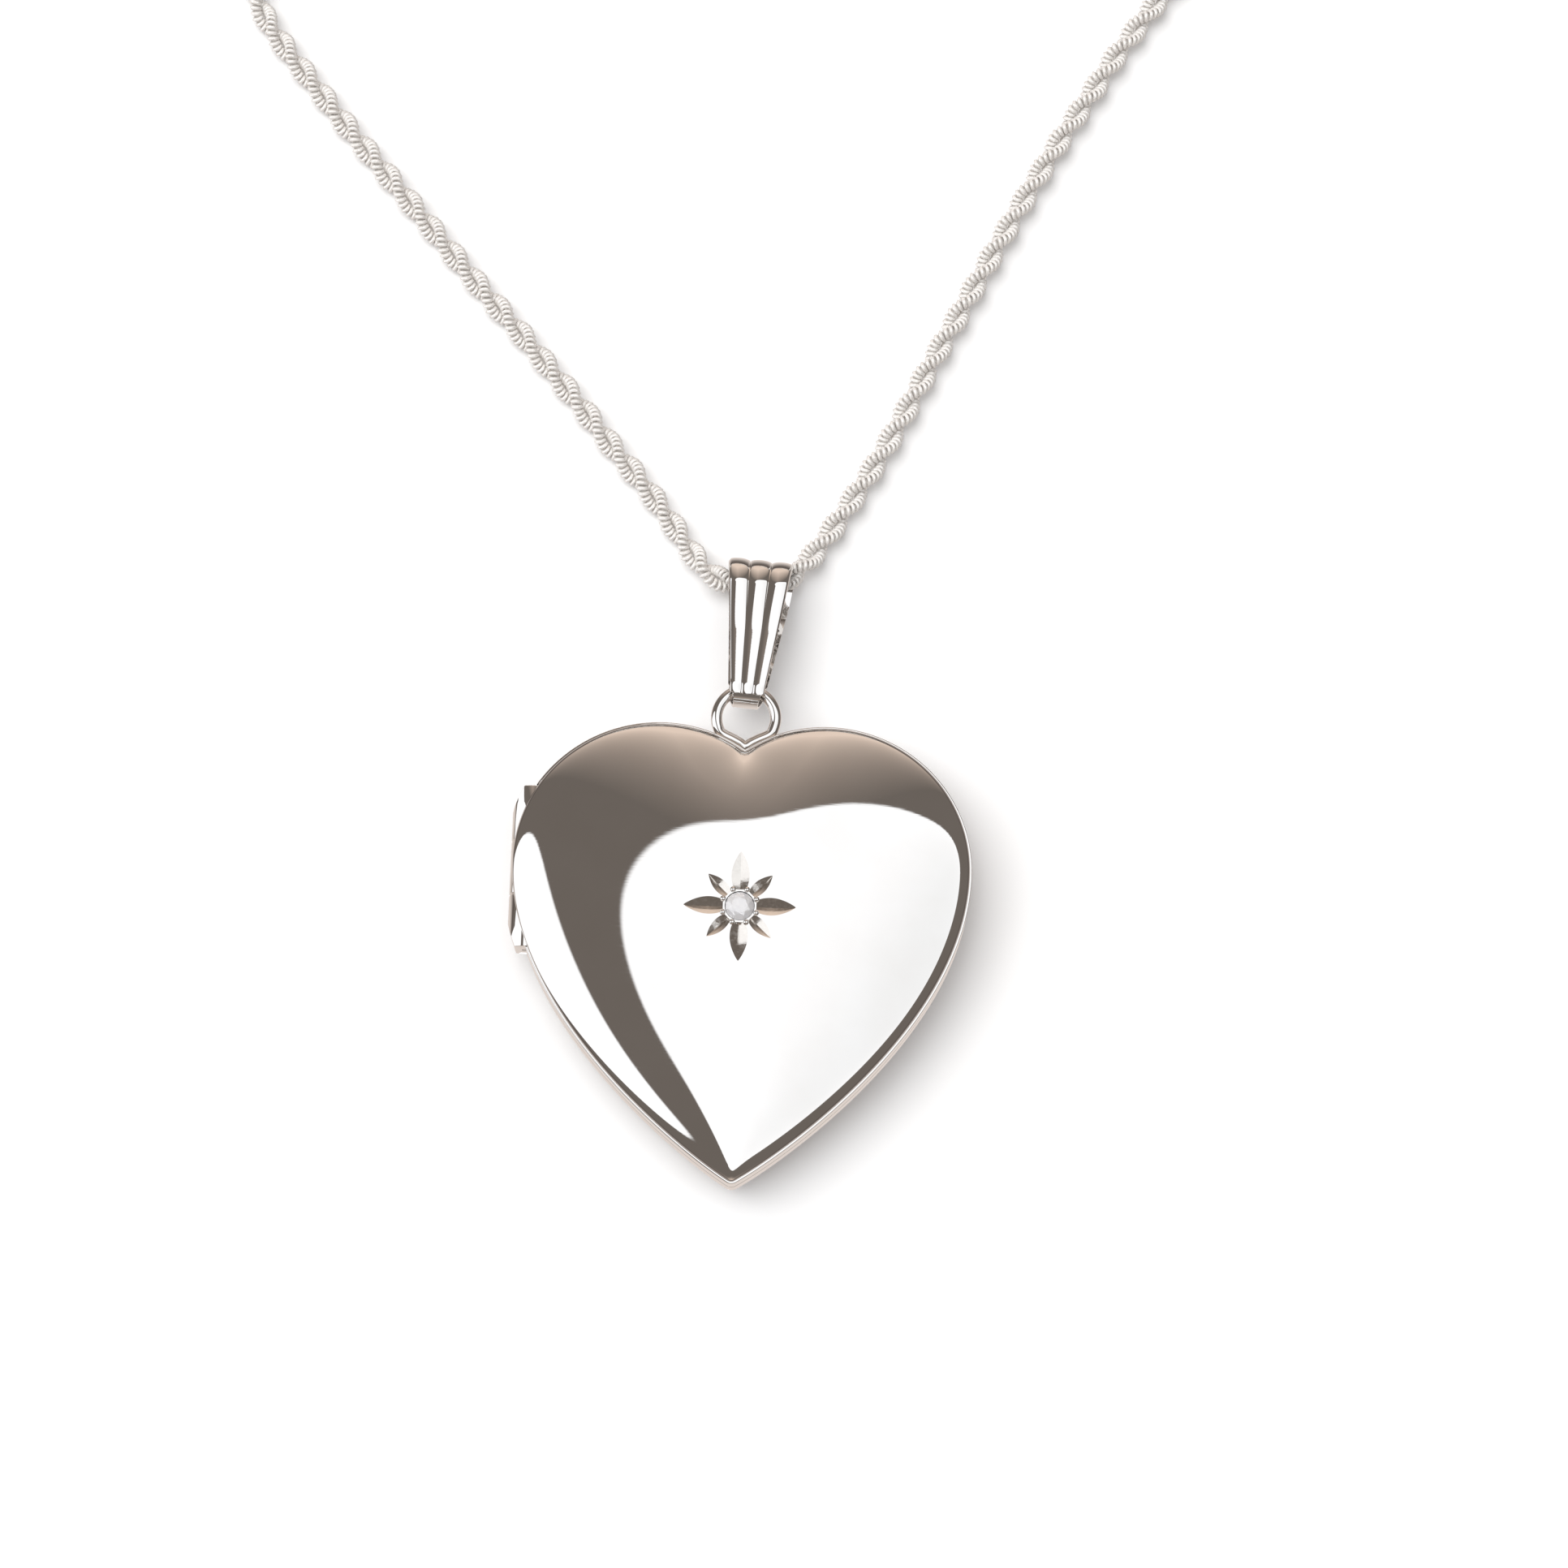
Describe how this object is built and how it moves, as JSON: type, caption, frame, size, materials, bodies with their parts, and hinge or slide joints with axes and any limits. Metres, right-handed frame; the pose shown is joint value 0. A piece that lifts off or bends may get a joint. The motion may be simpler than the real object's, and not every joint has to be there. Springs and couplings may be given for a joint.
{
  "type": "heart locket necklace",
  "caption": "Puffed heart locket with a star-set stone, side hinge and folded bail, lying on its rope chain with a spring ring clasp.",
  "frame": {"origin": "on the flat of the back cover, under the middle of the heart", "axes": "+Z out of the front cover, +Y from the heart's point to the bail, +X to the wearer's left of the front, with the hinge on -X"},
  "size_m": [0.0464, 0.0794, 0.0049],
  "materials": {
    "polished_gold": "mirror polished white gold",
    "cut_gold": "bright cut white gold",
    "chain_gold": "polished fine links",
    "pin_steel": "drawn wire",
    "diamond": "faceted and polished",
    "acetate": "clear glossy sheet",
    "paper": "matt card"
  },
  "bodies": {
    "chain_and_bail": {"bail": "polished_gold", "chain_saddle": "chain_gold", "chain_left": "chain_gold", "chain_right": "chain_gold", "chain_left_tail": "chain_gold", "chain_right_tail": "chain_gold", "coil_left": "chain_gold", "coil_right": "chain_gold", "left_end_cap": "polished_gold", "left_jump_ring": "polished_gold", "clasp_body": "polished_gold", "clasp_spring": "pin_steel", "right_jump_ring": "polished_gold", "right_end_cap": "polished_gold"},
    "locket": {"back_cover": "polished_gold", "back_rim": "polished_gold", "back_photo_frame": "polished_gold", "back_photo_window": "acetate", "back_photo_card": "paper", "hinge_knuckle_lower": "polished_gold", "hinge_knuckle_upper": "polished_gold", "hinge_pin": "pin_steel", "hanging_ring": "polished_gold"},
    "front_half": {"front_cover": "polished_gold", "front_rim": "polished_gold", "front_photo_frame": "polished_gold", "front_photo_window": "acetate", "front_photo_card": "paper", "hinge_knuckle_middle": "polished_gold", "star_diamond": "diamond"},
    "clasp_trigger": {"clasp_trigger": "polished_gold"}
  },
  "joints": [
    {"name": "ring_swing", "type": "hinge", "parent": "chain_and_bail", "child": "locket", "pos_m": [0, 0.01195, 0.00237], "axis": [-1, 0, 0], "range_deg": [0, 90]},
    {"name": "cover_hinge", "type": "hinge", "parent": "locket", "child": "front_half", "pos_m": [-0.00922, 0.0035, 0.00237], "axis": [0, -1, 0], "range_deg": [0, 95]},
    {"name": "trigger_slide", "type": "hinge", "parent": "chain_and_bail", "child": "clasp_trigger", "pos_m": [0.00025, 0.0665, 0.00076], "axis": [0, 0, 1], "range_deg": [0, 60], "stiffness_Nm_per_rad": 0.001, "springref_deg": -17.19}
  ]
}
